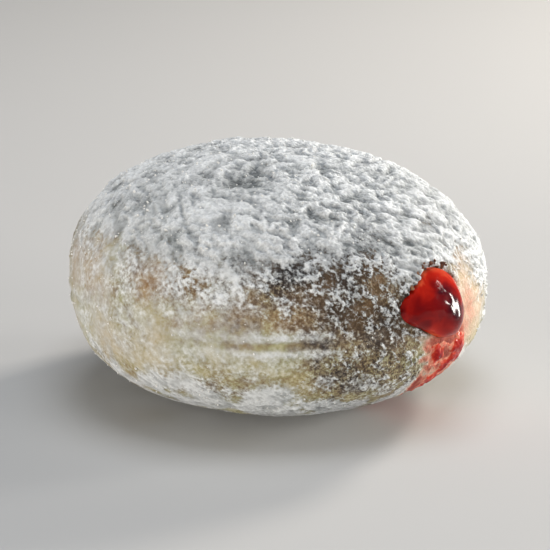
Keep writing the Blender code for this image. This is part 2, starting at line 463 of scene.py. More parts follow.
def skin(bearing, share):
    """Everything that varies over the dough, at arrays of bearings and shares of the outline.

    crust and coat are how far the fried crust and the caked sugar stand out from the smooth dough, and
    thickness is how far the one stands over the other, in mm. hole is how far off the filling hole
    lies, as a share of its radius. The other values are what the materials read, from 0 to about 1.
    Each is a base level plus patches, steps along the rise and noise.
    """
    points, outward = dough_at(bearing, share)
    rise = points[..., 2] / HEIGHT
    standing = smooth(share, 1.0, FOOT_SHARE - 0.05)
    belt_height, paleness, from_belt, welted = belt_relief(bearing, share, points)
    hole = hole_share(points)
    dent = patched(DENT_PATCHES, bearing, rise)

    grit = 0.45 + patched(GRIT_PATCHES, bearing, rise) + 0.2 * lumps(points, 9 * MM, 14)
    grit = np.clip(grit + 0.10 * smooth(rise, 0.7, 0.9), 0.05, 1.1)
    grit *= 1 - 0.75 * welted * bump_at(from_belt, 0, 3.2)
    web = crinkles(points, bearing, share, grit, rise)

    undulation = 0.30 * lumps(points, 14 * MM, 1) + 0.24 * lumps(points, 6 * MM, 2)
    skin_grain = 0.07 * lumps(points, 2.4 * MM, 3) + (0.04 + 0.22 * grit) * web
    lip = 0.25 * bump_at(hole, 1.14, 0.12)
    crater = -3.2 * smooth(hole, 1.04, 0.80)
    crust = (undulation + skin_grain + belt_height - 0.9 * dent - 0.25) * standing + lip + crater

    blotches = 0.50 * lumps(points, 11 * MM, 10) + 0.34 * lumps(points, 4.6 * MM, 11)
    caking = -1.15 + 1.95 * smooth(rise, 0.68, 0.94) + patched(CAKING_PATCHES, bearing, rise)
    caking += blotches * (0.4 + 0.6 * smooth(rise, 0.95, 0.7)) + 0.25 * np.clip(paleness, 0, 1)
    caking -= 3 * smooth(hole, 1.08, 0.98)
    relief = (web - WEB_MIDDLE) * (0.1 + 1.0 * grit)
    raised = (0.15 + 0.85 * smooth(rise, 0.10, 0.36)) * (1 - 0.15 * smooth(rise, 0.65, 0.85))
    hollow = smooth(lumps(points, 4.6 * MM, 66) + 0.3 * lumps(points, 2 * MM, 67), -0.02, -0.60)
    hollow *= smooth(rise, 0.62, 0.80)
    thickness = np.clip(0.34 * caking + 0.12 + 1.15 * relief * raised - 0.35 * hollow, -0.5, 1.3)
    coat = crust + np.where(standing > 0.02, thickness * np.clip(standing * 3, 0, 1), -0.5)

    dusting = 0.50 + 0.34 * smooth(rise, 0.55, 0.90) + 0.5 * smooth(rise, 0.72, 0.86)
    # More sugar towards the foot, here and in the clumps and low patches: partly the real sugar patches
    # there, partly painted light that brightens the underside.
    dusting = dusting + 0.16 * smooth(rise, 0.3, 0.12)
    patches = patched(DUSTING_PATCHES, bearing, rise)
    dusting += patches + (0.06 + 0.16 * grit) * blotches + 0.40 * relief * grit
    clumps = lumps(points, 6 * MM, 15) + 0.3 * lumps(points, 2.5 * MM, 17)
    dusting += 1.8 * clumps * bump_at(rise, 0.17, 0.12)
    dusting += 0.60 * paleness - 0.5 * smooth(hole, 1.05, 0.95)
    browning = 0.48 + 0.22 * lumps(points, 10 * MM, 12) + 0.18 * lumps(points, 3.5 * MM, 13)
    browning += patched(BROWNING_PATCHES, bearing, rise) - 0.35 * np.clip(paleness, 0, 1)
    browning -= 0.30 * bump_at(from_belt, 4.5, 4.0) + 0.15 * web * grit
    # Painted shade at the cavity's edge over partly torn crust: browner, with less sugar, close round the
    # hole's left side.
    torn = bump_at(hole, 1.04, 0.10) * smooth(points @ HOLE_ACROSS / MM, 2, -5)
    browning += 0.7 * torn
    dusting -= 0.5 * torn
    dull = patched(DULL_PATCHES, bearing, rise) * (1 + 0.8 * blotches)
    # Painted shade: the grey mixed into the sugar, deepest in the crinkles' pits, the dent and the hollows,
    # which the relief also sinks, plus the dull patches.
    pit_shade = smooth(web + 0.3 * blotches, 0.85, -0.15) * (0.26 + 0.60 * grit) + 0.5 * dent + dull + 0.34 * hollow
    warm = 0.06 + patched(WARM_PATCHES, bearing, rise) + 0.25 * lumps(points, 7 * MM, 16)
    return SimpleNamespace(
        points=points,
        outward=outward,
        crust=crust,
        coat=coat,
        thickness=thickness,
        rise=rise,
        hole=hole,
        dusting=np.clip(dusting, 0, 1.2),
        browning=np.clip(browning, 0, 1),
        grit=grit,
        stain=np.clip(smear_share(points), 0, 1),
        pit_shade=np.clip(pit_shade, 0, 1),
        warm=np.clip(warm, 0, 1),
    )


def smear_share(points):
    """How strongly smeared jelly has stained the dough, from 0 to about 1.

    It is the greatest of three fields of smooth steps and bell curves, in mm from the hole's middle,
    with ragged edges: the run below the hole, a blush to its right, and a ring close around it.
    """
    across, up = points @ HOLE_ACROSS / MM, (points[..., 2] - HOLE_HEIGHT) / MM
    ragged = 1.3 * lumps(points, 5 * MM, 30) + 0.8 * lumps(points, 2 * MM, 31)
    ragged = ragged + 0.5 * lumps(points, 1.1 * MM, 32)
    below = smooth(across + ragged + 0.25 * up, -8.6, -6.0) * smooth(across + ragged, 12, 7.5)
    below = below * smooth(up, -4.5, -8) * (0.75 + 0.35 * ragged)
    beside = 0.50 * bump_at(across + 2 * ragged, 10, 6) * bump_at(up + 2 * ragged, -5, 8)
    around = 0.5 * smooth(hole_share(points), 1.30, 1.02) * smooth(up, 5, 1) * smooth(across, -5, 0)
    front = points @ HOLE_OUT > 0
    return np.where(front, np.maximum(np.maximum(below, beside), around), 0)


# ---- Meshes ----


def wrapped_faces(rings, around, ends_meet=False):
    """Quads of a grid of rings, each joined end to end; if the ends meet, last ring to first too."""
    ring = np.arange(rings if ends_meet else rings - 1)[:, None]
    step = np.arange(around)[None, :]
    below, beside = (ring + 1) % rings, (step + 1) % around
    corners = (ring * around + step, below * around + step, below * around + beside, ring * around + beside)
    return np.stack(corners, axis=-1).reshape(-1, 4)


def ball_faces(rings, around):
    """Quads and triangles of rings closed by a point before the first and a point after the last."""
    step = np.arange(around)
    beside = (step + 1) % around
    first, last = rings * around, rings * around + 1
    end = (rings - 1) * around
    top = np.stack([np.full(around, first), step, beside], axis=-1)
    bottom = np.stack([np.full(around, last), end + beside, end + step], axis=-1)
    return wrapped_faces(rings, around), np.concatenate([top, bottom])


def make_piece(name, points, faces, material, marks=()):
    """A named mesh piece on the body, from arrays of points and faces, with its marks as attributes.

    Points below the floor are raised to it.
    """
    mesh = bpy.data.meshes.new(name)
    points = np.asarray(points).reshape(-1, 3)
    points[:, 2] = np.maximum(points[:, 2], 0)
    mesh.from_pydata(points, [], [f for group in faces for f in group.tolist()])
    for mark, values in dict(marks).items():
        mesh.attributes.new(mark, "FLOAT", "POINT").data.foreach_set("value", np.ravel(values))
    mesh.shade_smooth()
    mesh.materials.append(material)
    piece = bpy.data.objects.new(name, mesh)
    bpy.context.scene.collection.objects.link(piece)
    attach(piece, "root")
    return piece


def ball_grid(place, rings, around):
    """A closed surface from a function of (turn, share): rings of it, then its two end points."""
    turn = np.linspace(0, 2 * math.pi, around, endpoint=False)[None, :]
    share = np.linspace(0, 1, rings + 2)[:, None]
    turn, share = np.broadcast_arrays(turn, share)
    parts = place(turn[1:-1], share[1:-1]), place(turn[[0, -1], :1], share[[0, -1], :1])
    flat = [{key: values.reshape(-1, *values.shape[2:]) for key, values in part.items()} for part in parts]
    return {key: np.concatenate([part[key] for part in flat]) for key in flat[0]}


def ball_piece(name, place, rings, around, material):
    """A closed piece from a function of (turn, share) that gives its points and its marks."""
    marks = ball_grid(place, rings, around)
    points = marks.pop("points")
    return make_piece(name, points, ball_faces(rings, around), material, marks)


CRUST_MARKS = ("dusting", "browning", "grit", "stain", "pit_shade", "warm")


def crust_marks(at):
    """What the crust's material reads at each point."""
    return {mark: getattr(at, mark) for mark in CRUST_MARKS}


def coat_marks(at):
    """What the caked sugar's material reads at each point: the crust's marks, and its own thickness."""
    cake = np.clip(at.thickness / 0.5, 0, 1) * (0.45 + 0.55 * at.grit)
    return {**crust_marks(at), "cake": cake * (1 - 0.8 * smooth(at.grit, 0.75, 1.05))}


def fried_crust(material):
    """The dough's skin from pole to pole: the smooth dough moved out by the crust's relief."""

    def place(turn, share):
        at = skin(turn, share)
        return {"points": at.points + at.outward * at.crust[..., None] * MM, **crust_marks(at)}

    crust = ball_piece("fried_crust", place, CRUST_RINGS, CRUST_AROUND, material)
    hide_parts("dough")


# The caked sugar's two pieces overlap a little at the belt. Their edges are sunk into the dough, and so
# is the wall that closes the lower one inside, by so many mm.
CROWN_COAT_END = BELT_SHARE - 0.01
BASE_COAT_START = BELT_SHARE - 0.02
EDGE_SINKING = 1.2
BASE_WALL_DEPTH = 2.5


def crown_sugar(material):
    """The caked sugar over the crown: a square grid bent to a disc and laid over the dome.

    A square's (x, y) goes to the disc as x sqrt(1 - y^2/2), y sqrt(1 - x^2/2), whose distance from its
    middle is the share of the way down to the belt. The disc's rim is sunk into the dough, and a flat
    fan inside closes it.
    """
    side = np.linspace(-1, 1, CROWN_COAT_STEPS)
    x, y = np.meshgrid(side, side, indexing="ij")
    disc_x, disc_y = x * np.sqrt(1 - y * y / 2), y * np.sqrt(1 - x * x / 2)
    reach = np.hypot(disc_x, disc_y)
    at = skin(np.arctan2(disc_y, disc_x), reach * CROWN_COAT_END)
    sunk = EDGE_SINKING * smooth(reach, 0.975, 1.0)
    points = at.points + at.outward * (at.coat - sunk)[..., None] * MM
    last = CROWN_COAT_STEPS - 1
    row, column = np.meshgrid(np.arange(last), np.arange(last), indexing="ij")
    corner = row * CROWN_COAT_STEPS + column
    quads = np.stack([corner, corner + CROWN_COAT_STEPS, corner + CROWN_COAT_STEPS + 1, corner + 1], axis=-1)
    index = np.arange(CROWN_COAT_STEPS**2).reshape(CROWN_COAT_STEPS, CROWN_COAT_STEPS)
    rim = np.concatenate([index[:-1, 0], index[-1, :-1], index[:0:-1, -1], index[0, :0:-1]])
    middle = np.full(len(rim), CROWN_COAT_STEPS**2)
    fan = np.stack([rim, middle, np.roll(rim, -1)], axis=-1)[:, ::-1]
    centre = points.reshape(-1, 3)[rim].mean(axis=0)
    points = np.concatenate([points.reshape(-1, 3), centre[None]])
    marks = {mark: np.append(values.ravel(), 0) for mark, values in coat_marks(at).items()}
    make_piece("crown_sugar", points, (quads.reshape(-1, 4), fan), material, marks)


def base_sugar(material):
    """The caked sugar below the belt: a band of rings down to the foot, closed by a wall inside."""
    down = np.linspace(BASE_COAT_START, FOOT_SHARE, BASE_COAT_RINGS)
    inside = np.linspace(FOOT_SHARE, BASE_COAT_START, BASE_WALL_RINGS + 2)[1:-1]
    share = np.concatenate([down, inside])[:, None]
    half = np.ptp(down) / 2
    sunk = EDGE_SINKING * smooth(np.abs(down - down.mean()), 0.93 * half, half)
    depth = np.concatenate([sunk, np.full(len(inside), BASE_WALL_DEPTH)])[:, None]
    bearing = np.linspace(0, 2 * math.pi, BASE_COAT_AROUND, endpoint=False)[None, :]
    at = skin(*np.broadcast_arrays(bearing, share))
    points = at.points + at.outward * (at.coat - depth)[..., None] * MM
    faces = wrapped_faces(len(share), BASE_COAT_AROUND, ends_meet=True)
    make_piece("base_sugar", points, (faces,), material, coat_marks(at))


def hole_place(across, up):
    """The bearing and the outline's share at places measured sideways and up from the hole's middle."""
    bearing = HOLE_BEARING + np.arcsin(np.clip(across / HOLE_RADIUS_OUT, -0.95, 0.95))
    return bearing, share_at_height(HOLE_HEIGHT + up)


# The blob: the share of the jelly's grid that it takes, how far it spreads past the hole, and how far
# it stands out, in mm. The neck and core: how far out they start, how long they are, and how wide and
# high the neck is where it leaves the hole, in mm. The core's middle and reach are shares of the length.
BLOB_SHARE = 0.6
BLOB_SPREAD = 1.07
BLOB_HEIGHT = 3.1
NECK_START = 39.5
NECK_LENGTH = 36
NECK_HALF_WIDTH = 8.0
NECK_HALF_HEIGHT = 6.4
CORE_MIDDLE = 0.62
CORE_REACH = 0.385
CORE_SWELL = 1.15


def neck_girth(inside):
    """The neck's girth at a share of the way in: narrowing from the hole, then swollen by the core.

    The core is an ellipse, sqrt(1 - ((t - middle) / reach)^2).
    """
    core = np.sqrt(np.clip(1 - ((inside - CORE_MIDDLE) / CORE_REACH) ** 2, 0, 1)) * CORE_SWELL
    return np.where(inside < CORE_MIDDLE, np.maximum(core, 0.62 + 0.38 * smooth(inside, 0.25, 0)), core)


def jelly_filling(material):
    """The jelly: a wet blob that fills the hole and stands out of it, on a neck and a core inside.

    The first part of the share runs from the blob's tip to the hole's rim. There the height over the
    dough is a dome, (1 - (x^2 + y^2) / 1.04)^0.75 with y shifted up in the middle so that the blob
    hangs, swollen downwards and made lumpy by noise. The rest runs inwards along the filling axis.
    """

    def place(turn, share):
        outside = np.clip(share / BLOB_SHARE, 0, 1)
        inside = np.clip((share - BLOB_SHARE) / 0.4, 0, 1)
        spread = np.sin(outside * math.pi / 2)
        radius = hole_reach(turn) * BLOB_SPREAD * spread
        bearing, outline_share = hole_place(radius * np.cos(turn), radius * np.sin(turn))
        points, outward = dough_at(bearing, outline_share)
        side, up = spread * np.cos(turn), spread * np.sin(turn)
        hung = up + 0.30 * (1 - spread**2)
        dome = np.clip(1 - (side**2 + hung**2) / 1.04, 0, 1) ** 0.75
        swollen = 1 + 0.02 * side - 0.22 * up
        lumpy = 0.40 * lumps(points, 7 * MM, 40) + 0.20 * lumps(points, 2.6 * MM, 41)
        height = BLOB_HEIGHT * dome * swollen + lumpy * (0.25 + 0.75 * dome)
        height = height - 0.5 * smooth(spread, 0.90, 1) + 0.1
        shell = points + outward * height[..., None] * MM
        girth = neck_girth(inside)
        neck = HOLE_OUT * NECK_START * MM + HOLE_UP * HOLE_HEIGHT
        neck = neck + HOLE_ACROSS * (np.cos(turn) * NECK_HALF_WIDTH * MM * girth)[..., None]
        neck = neck + HOLE_UP * (np.sin(turn) * NECK_HALF_HEIGHT * MM * girth)[..., None]
        neck = neck - HOLE_OUT * (inside * NECK_LENGTH * MM)[..., None]
        blend = smooth(inside, 0, 0.16)[..., None]
        on_blob = share <= BLOB_SHARE
        body = np.where(on_blob[..., None], shell, shell * (1 - blend) + neck * blend)
        across, above = radius * np.cos(turn) / MM, radius * np.sin(turn) / MM
        # Painted light: the blob's depth mark is its dome's thickness made lighter towards the upper right,
        # where the light falls, and darker at a patch by its middle and towards its left.
        lit = smooth(across + above, 2, 8)
        left = smooth(across, -4, -9)
        middle = bump_at(across, 0.6, 3.6) * bump_at(above, 0.4, 3.8)
        depth = 0.60 * dome * (1 - 0.6 * lit) + 0.45 * middle + 0.34 * left
        return {"points": body, "depth": np.clip(depth, 0, 1) * on_blob}

    jelly = ball_piece("jelly_filling", place, JELLY_RINGS, JELLY_AROUND, material)
    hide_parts("jelly")


# The smear's middle, sideways and up from the hole's, and its half width and height.
SMEAR_ACROSS = 4.0 * MM
SMEAR_UP = -14.2 * MM
SMEAR_HALF_WIDTH = 9.0 * MM
SMEAR_HALF_HEIGHT = 8.6 * MM
# How often its edge swings in and out around it, by how much and from where.
SMEAR_WAVES = ((3, 0.12, 1), (5, 0.08, 2), (9, 0.05, 0))
# Its thick parts: sideways and up from the hole's middle, their reach each way, and height, in mm.
SMEAR_DROPS = ((-0.5, -11.0, 3.8, 2.8, 1.0), (6.5, -12.5, 3.0, 4.0, 1.1), (2.5, -18.5, 3.0, 3.5, 0.8))


def jelly_smear(material):
    """The thin run of jelly below the hole: a film closed by a face sunk in the crust.

    Its outline is an oval whose radius swings with sines of the turn. The film's height is noise of
    three sizes plus a bell for each thick drop, so that it breaks into drops and bare gaps.
    """

    def place(turn, share):
        outer = share <= 0.5
        spread = np.where(outer, share * 2, (1 - share) * 2)
        ragged = sum((swing * np.sin(waves * turn + start) for waves, swing, start in SMEAR_WAVES), 1)
        across = SMEAR_ACROSS + SMEAR_HALF_WIDTH * spread * ragged * np.cos(turn)
        up = SMEAR_UP + SMEAR_HALF_HEIGHT * spread * ragged * np.sin(turn)
        bearing, outline_share = hole_place(across, up)
        at = skin(bearing, outline_share)
        film = -0.40 + 0.50 * lumps(at.points, 4 * MM, 50) + 0.30 * lumps(at.points, 1.8 * MM, 51)
        film += 0.14 * lumps(at.points, 0.9 * MM, 52)
        for middle, height, wide, tall, amount in SMEAR_DROPS:
            film += amount * bump_at(across / MM, middle, wide) * bump_at(up / MM, height, tall)
        film = np.clip(film, -0.3, 0.9) * smooth(spread, 1.0, 0.8) - 0.35 * smooth(spread, 0.8, 1)
        out = np.where(outer, np.maximum(at.coat, at.crust) * 0.2 + at.crust * 0.8 + film, at.crust - 0.8)
        return {"points": at.points + at.outward * out[..., None] * MM, "depth": np.clip(film, 0, 1)}

    ball_piece("jelly_smear", place, SMEAR_RINGS, SMEAR_AROUND, material)


# ---- Scattered sugar and crumbs ----

# An icosahedron's twelve corners: one golden rectangle, turned into each pair of axes.
GOLDEN = (1 + 5**0.5) / 2
FOUR = np.array([(0, a, b * GOLDEN) for a in (-1, 1) for b in (-1, 1)])
LUMP_CORNERS = np.concatenate([np.roll(FOUR, turn, axis=1) for turn in range(3)])
LUMP_CORNERS = LUMP_CORNERS / math.hypot(1, GOLDEN)
# A lump sinks by a share of its size. Sizes are medians, in mm.
LUMP_SINKING = 0.25
GRAIN_TRIES = 16000
GRAIN_SIZE = 0.24
CRUMB_COUNT = 40
CRUMB_SIZE = 0.5


def lump_faces():
    """The twenty triangles of an icosahedron on LUMP_CORNERS: corners that are next to each other."""
    away = np.linalg.norm(LUMP_CORNERS[:, None] - LUMP_CORNERS[None], axis=-1)
    near = away < 1.2 * away[away > 0].min()
    triples = [
        (i, j, k)
        for i in range(12)
        for j in range(i + 1, 12)
        for k in range(j + 1, 12)
        if near[i, j] and near[j, k] and near[i, k]
    ]
    faces = np.array(triples)
    a, b, c = (LUMP_CORNERS[faces[:, i]] for i in range(3))
    inward = (np.cross(b - a, c - a) * a).sum(axis=1) < 0
    faces[inward] = faces[inward][:, ::-1]
    return faces


def scattered_places(count, chance):
    """Bearings and shares of random places on the dough, as dense anywhere as the chance is high.

    They are drawn evenly over the bearing and share, and kept in proportion to the radius there, which
    spreads them evenly over the area, times the chance.
    """
    bearing = RANDOM.uniform(-math.pi, math.pi, count)
    share = RANDOM.uniform(0, FOOT_SHARE - 0.02, count)
    radius = np.interp(share, OUTLINE.share, OUTLINE.radius) / (WIDTH / 2)
    at = skin(bearing, share)
    kept = RANDOM.random(count) < radius * np.clip(chance(at), 0, 1)
    return bearing[kept], share[kept]


def scattered(name, bearing, share, sizes, material):
    """Many small closed lumps as one mesh: icosahedra with jogged corners, squashed and turned."""
    at = skin(bearing, share)
    count = len(bearing)
    jog = RANDOM.uniform(0.62, 1.25, (count, 12, 1))
    stretch = RANDOM.uniform(0.65, 1.3, (count, 1, 3))
    turn = np.linalg.qr(RANDOM.normal(size=(count, 3, 3)))[0]
    turn[np.linalg.det(turn) < 0] *= -1
    corners = (LUMP_CORNERS[None] * jog * stretch) @ turn
    out = np.maximum(at.coat, at.crust)[:, None] * MM + sizes[:, None] * (0.5 - LUMP_SINKING)
    middles = at.points + at.outward * out
    points = middles[:, None] + corners * (sizes / 2)[:, None, None]
    faces = lump_faces()[None] + 12 * np.arange(count)[:, None, None]
    piece = make_piece(name, points, (faces.reshape(-1, 3),), material)
    piece.data.shade_flat()


def sugar_grains(material):
    """Fine grains of sugar that lie loose on the crust and cling to the caked sugar."""

    def chance(at):
        clear = (at.hole > 1.05) * (at.stain < 0.5) * (at.rise > 0.15)
        return (0.05 + 0.25 * smooth(at.dusting, 0.5, 0.9)) * clear

    bearing, share = scattered_places(GRAIN_TRIES, chance)
    sizes = RANDOM.lognormal(math.log(GRAIN_SIZE), 0.40, len(bearing)).clip(0.12, 0.7) * MM
    scattered("sugar_grains", bearing, share, sizes, material)


def crust_crumbs(material):
    """Brown crumbs torn from the crust, thickest round the filling hole's upper rim."""
    turn = np.radians(RANDOM.normal(86, 32, CRUMB_COUNT))
    reach = hole_reach(turn) * RANDOM.normal(1.12, 0.04, CRUMB_COUNT).clip(1.04, 1.3)
    bearing, share = hole_place(reach * np.cos(turn), reach * np.sin(turn))
    sizes = RANDOM.lognormal(math.log(CRUMB_SIZE), 0.45, CRUMB_COUNT).clip(0.25, 1.1) * MM
    scattered("crust_crumbs", bearing, share, sizes, material)


# ---- Materials ----


def add_node(material, kind, settings=(), links=()):
    """One node with its properties or its sockets set, and its inputs linked from other sockets."""
    node = material.node_tree.nodes.new(kind)
    for name, value in dict(settings).items():
        if isinstance(name, str) and hasattr(node, name):
            setattr(node, name, value)
        else:
            node.inputs[name].default_value = value
    for name, source in dict(links).items():
        material.node_tree.links.new(source, node.inputs[name])
    return node


def new_material(name):
    """A material with only a Principled shader, which is returned with it."""
    material = bpy.data.materials.new(name)
    material.use_nodes = True
    return material, material.node_tree.nodes["Principled BSDF"]


def per_metre(size_mm):
    """The scale of a pattern whose features are that many millimetres wide."""
    return 1000 / size_mm


def set_ramp(node, stops):
    """Gives a colour ramp its stops: (place, hex colour) pairs."""
    ramp = node.color_ramp
    while len(ramp.elements) < len(stops):
        ramp.elements.new(0.5)
    for element, (place, colour) in zip(ramp.elements, stops):
        element.position = place
        element.color = hex_colour(colour)


def link(material, source, target):
    material.node_tree.links.new(source, target)


# A ramp's stops are (place, colour). The crust's place is its browning, the stain's how strong it is, the
# jelly's and the smear's how deep they are, with painted light on the blob, and the crumbs' their noise.
CRUST_STOPS = ((0.0, "#cbc6a6"), (0.28, "#a8a47b"), (0.52, "#908163"), (0.78, "#5c5148"), (1.0, "#383332"))
STAIN_STOPS = ((0.25, "#efd3bd"), (0.50, "#dfa088"), (0.75, "#c25a42"), (1.0, "#98281a"))
JELLY_STOPS = ((0.0, "#d65a36"), (0.22, "#b42010"), (0.55, "#800a09"), (0.90, "#380513"))
SMEAR_STOPS = ((0.0, "#e79a80"), (0.22, "#cf3f26"), (0.55, "#a31410"), (1.0, "#660812"))
CRUMB_STOPS = ((0.3, "#3a211a"), (0.5, "#68412f"), (0.7, "#9a7458"))
WARM_GOLD = "#b78e5b"
SUGAR_WHITE = "#e4e7e9"
SUGAR_GREY = "#b5bbbd"
# The grey of the painted shade in the sugar's pits.
PIT_SHADE_GREY = "#757a7c"
GRAIN_WHITE = "#fbfaf6"
GRAIN_GREY = "#e4e4e2"

# Each noise on the crust: its size in mm, detail and roughness.
CRUST_NOISES = {
    "speck": (0.75, 3, 0.7),
    "powder": (3.0, 2, 0.5),
    "mottle": (1.6, 3, 0.6),
    "sand": (0.75, 1, 0.6),
}
WEB_SIZE = 1.2
WEB_LEAN = math.radians(40)
WEB_STRETCH = 2.2
# Noise seldom leaves the middle of its range, so this part of it is spread over a pattern's whole range.
USUAL_NOISE = {"From Min": 0.38, "From Max": 0.62}


def crust_patterns(material):
    """The sockets that the crust's colours are mixed from: its marks and its noises on Object coordinates.

    ridge rises from -1 to 1 where stretched noise crosses its middle, so it draws a web of fine lines.
    """
    at = SimpleNamespace()
    for mark in (*CRUST_MARKS, "cake"):
        node = add_node(material, "ShaderNodeAttribute", {"attribute_name": mark})
        setattr(at, mark, node.outputs["Fac"])
    place = add_node(material, "ShaderNodeTexCoord").outputs["Object"]
    for name, (size_mm, detail, roughness) in CRUST_NOISES.items():
        settings = {"Scale": per_metre(size_mm), "Detail": detail, "Roughness": roughness}
        node = add_node(material, "ShaderNodeTexNoise", settings, {"Vector": place})
        setattr(at, name, node.outputs["Fac"])
    settings = {"vector_type": "TEXTURE", "Rotation": (0, WEB_LEAN, 0), "Scale": (WEB_STRETCH, 1, 1)}
    stretched = add_node(material, "ShaderNodeMapping", settings, {"Vector": place}).outputs["Vector"]
    settings = {"Scale": per_metre(WEB_SIZE), "Detail": 3, "Roughness": 0.65, "Distortion": 0.1}
    web = add_node(material, "ShaderNodeTexNoise", settings, {"Vector": stretched}).outputs["Fac"]
    web = add_node(material, "ShaderNodeMath", {"operation": "SUBTRACT", 1: 0.5}, {0: web}).outputs[0]
    web = add_node(material, "ShaderNodeMath", {"operation": "ABSOLUTE"}, {0: web}).outputs[0]
    settings = {"From Min": 0.14, "From Max": 0.0, "To Min": -1}
    at.ridge = add_node(material, "ShaderNodeMapRange", settings, {"Value": web}).outputs["Result"]
    return at


def bare_crust(material, at):
    """The crust's colour: browning plus mottling. Where it is gritty it is paler on its ridges and darker
    in the low specks that the bump sinks: painted light and shade over the crust's own grain.
    """
    multiply_add = {"operation": "MULTIPLY_ADD"}
    brown = add_node(material, "ShaderNodeMath", {**multiply_add, 1: 0.9}, {0: at.mottle, 2: at.browning})
    brown = add_node(material, "ShaderNodeMath", {"operation": "SUBTRACT", 1: 0.45}, {0: brown.outputs[0]})
    # Painted light and shade on the fine relief: paler on the ridges, and darker in the low specks that the
    # bump sinks.
    pale = add_node(material, "ShaderNodeMath", {"operation": "MULTIPLY", 1: -0.22}, {0: at.ridge})
    settings = {**USUAL_NOISE, "To Min": 0.38, "To Max": -0.38}
    dark = add_node(material, "ShaderNodeMapRange", settings, {"Value": at.speck})
    for node in (pale, dark):
        links = {0: node.outputs[0], 1: at.grit, 2: brown.outputs[0]}
        brown = add_node(material, "ShaderNodeMath", multiply_add, links)
    crust = add_node(material, "ShaderNodeValToRGB", {}, {"Fac": brown.outputs[0]})
    set_ramp(crust, CRUST_STOPS)
    settings = {"data_type": "RGBA", 7: hex_colour(WARM_GOLD)}
    return add_node(material, "ShaderNodeMix", settings, {0: at.warm, 6: crust.outputs[0]}).outputs[2]


def sugar_cover(material, at, cake_weight):
    """How much of the crust the sugar hides, from 0 to 0.96.

    It is a smooth step of the dusting plus specks, ridges, patches and caking. Grit makes the specks
    and ridges stronger and the step narrower, so that the sugar breaks up into grains.
    """
    settings = {**USUAL_NOISE, "To Min": -1, "clamp": False}
    speckle = add_node(material, "ShaderNodeMapRange", settings, {"Value": at.speck}).outputs["Result"]
    settings = {"From Min": 0.25, "From Max": 0.75, "To Min": -0.35, "To Max": 0.35, "clamp": False}
    patchy = add_node(material, "ShaderNodeMapRange", settings, {"Value": at.powder}).outputs["Result"]
    grain = at.dusting
    for pattern, by_grit, least in ((speckle, 0.34, 0.07), (at.ridge, 0.14, 0.01)):
        settings = {"operation": "MULTIPLY_ADD", 1: by_grit, 2: least}
        weight = add_node(material, "ShaderNodeMath", settings, {0: at.grit}).outputs[0]
        links = {0: pattern, 1: weight, 2: grain}
        grain = add_node(material, "ShaderNodeMath", {"operation": "MULTIPLY_ADD"}, links).outputs[0]
    for pattern, weight in ((patchy, 0.7), (at.cake, cake_weight)):
        settings = {"operation": "MULTIPLY_ADD", 1: weight}
        grain = add_node(material, "ShaderNodeMath", settings, {0: pattern, 2: grain}).outputs[0]
    links = {"Value": at.grit}
    bare = add_node(material, "ShaderNodeMapRange", {"To Min": 0.0, "To Max": 0.24}, links)
    full = add_node(material, "ShaderNodeMapRange", {"To Min": 1.25, "To Max": 0.78}, links)
    settings = {"interpolation_type": "SMOOTHSTEP", "To Max": 0.96}
    links = {"Value": grain, "From Min": bare.outputs["Result"], "From Max": full.outputs["Result"]}
    return add_node(material, "ShaderNodeMapRange", settings, links).outputs["Result"]


def sugar_colour(material, at, cover):
    """The sugar's colour: greyer where it is thin, and darker with painted shade in its pits and off its
    ridges.
    """
    settings = {"data_type": "RGBA", 6: hex_colour(SUGAR_GREY), 7: hex_colour(SUGAR_WHITE)}
    sugar = add_node(material, "ShaderNodeMix", settings, {0: cover}).outputs[2]
    shade = add_node(material, "ShaderNodeMath", {"operation": "MULTIPLY", 1: -0.22}, {0: at.ridge})
    settings = {"operation": "MULTIPLY_ADD", "use_clamp": True}
    links = {0: shade.outputs[0], 1: at.grit, 2: at.pit_shade}
    shade = add_node(material, "ShaderNodeMath", settings, links).outputs[0]
    settings = {"data_type": "RGBA", 7: hex_colour(PIT_SHADE_GREY)}
    return add_node(material, "ShaderNodeMix", settings, {0: shade, 6: sugar}).outputs[2]


def jelly_stained(material, at, colour):
    """A colour soaked with jelly: pink at the stain's thin edge, which specks break up, then red."""
    settings = {"From Min": 0.05, "From Max": 0.55, "To Max": 0.92}
    soaked = add_node(material, "ShaderNodeMapRange", settings, {"Value": at.stain}).outputs["Result"]
    settings = {"operation": "MULTIPLY_ADD", 1: 0.5}
    blush = add_node(material, "ShaderNodeMath", settings, {0: at.speck, 2: at.stain}).outputs[0]
    blush = add_node(material, "ShaderNodeMath", {"operation": "SUBTRACT", 1: 0.25}, {0: blush}).outputs[0]
    red = add_node(material, "ShaderNodeValToRGB", {}, {"Fac": blush})
    set_ramp(red, STAIN_STOPS)
    links = {0: soaked, 6: colour, 7: red.outputs[0]}
    return add_node(material, "ShaderNodeMix", {"data_type": "RGBA"}, links).outputs[2]


def sanded(material, at, colour):
    """A colour made lighter and darker from grain to grain, by more where it is gritty."""
    settings = {"From Min": 0.3, "From Max": 0.7, "To Min": -0.5, "To Max": 0.5}
    sand = add_node(material, "ShaderNodeMapRange", settings, {"Value": at.sand}).outputs["Result"]
    settings = {"operation": "MULTIPLY_ADD", 1: 0.62, 2: 0.04}
    weight = add_node(material, "ShaderNodeMath", settings, {0: at.grit}).outputs[0]
    settings = {"operation": "MULTIPLY_ADD", 2: 1.0}
    tone = add_node(material, "ShaderNodeMath", settings, {0: sand, 1: weight}).outputs[0]
    links = {0: colour, "Scale": tone}
    return add_node(material, "ShaderNodeVectorMath", {"operation": "SCALE"}, links).outputs[0]


